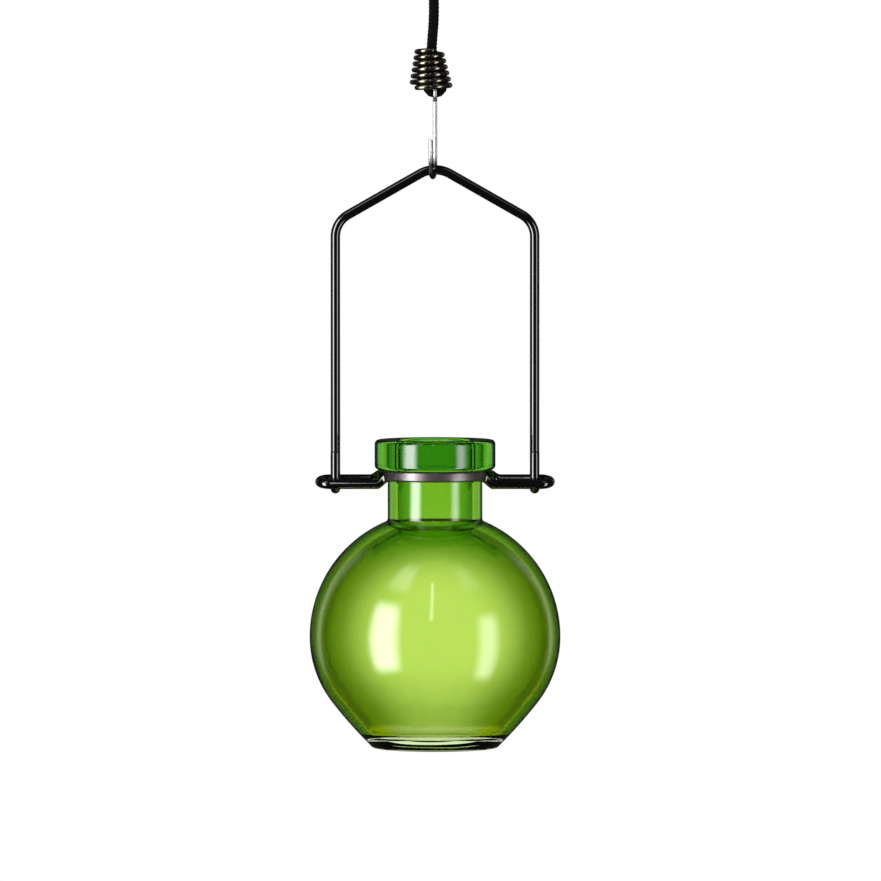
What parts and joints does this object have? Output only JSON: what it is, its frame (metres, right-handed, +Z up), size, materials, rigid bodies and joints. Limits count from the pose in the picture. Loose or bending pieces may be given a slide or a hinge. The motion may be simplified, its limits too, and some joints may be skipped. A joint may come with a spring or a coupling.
{
  "type": "hanging glass ball vase",
  "caption": "Hollow glass ball vase whose rimmed neck sits in a wire ring, hung from a gabled wire bail, a steel hook and a cord.",
  "frame": {"origin": "hang point: the inside of the top of the cord's loop", "axes": "+Z up along the cord, X across the bail from one leg to the other, the front at -Y"},
  "size_m": [0.11, 0.1099, 0.3783],
  "materials": {
    "cord": "tightly woven black cord",
    "dark_wire": "dark nickel wire",
    "steel_wire": "bright steel wire",
    "black_wire": "satin gloss black",
    "green_glass": "clear green glass"
  },
  "bodies": {
    "hanger": {"cord": "cord", "cord_bight": "cord", "loop_crimp": "dark_wire", "cord_sleeve": "dark_wire"},
    "hook": {"wire_hook": "steel_wire"},
    "frame": {"bail": "black_wire"},
    "vase": {"neck_ring": "black_wire", "glass_vase": "green_glass"}
  },
  "joints": [
    {"name": "hook_sway", "type": "hinge", "parent": "hanger", "child": "hook", "pos_m": [0, 0, -0.0835], "axis": [0, 1, 0], "range_deg": [-40, 40]},
    {"name": "bail_swing", "type": "hinge", "parent": "hook", "child": "frame", "pos_m": [0, -0.00015, -0.12043], "axis": [1, 0, 0], "range_deg": [-60, 60]},
    {"name": "vase_tilt", "type": "hinge", "parent": "frame", "child": "vase", "pos_m": [0, -0.00015, -0.256], "axis": [1, 0, 0], "range_deg": [-15, 120]}
  ]
}
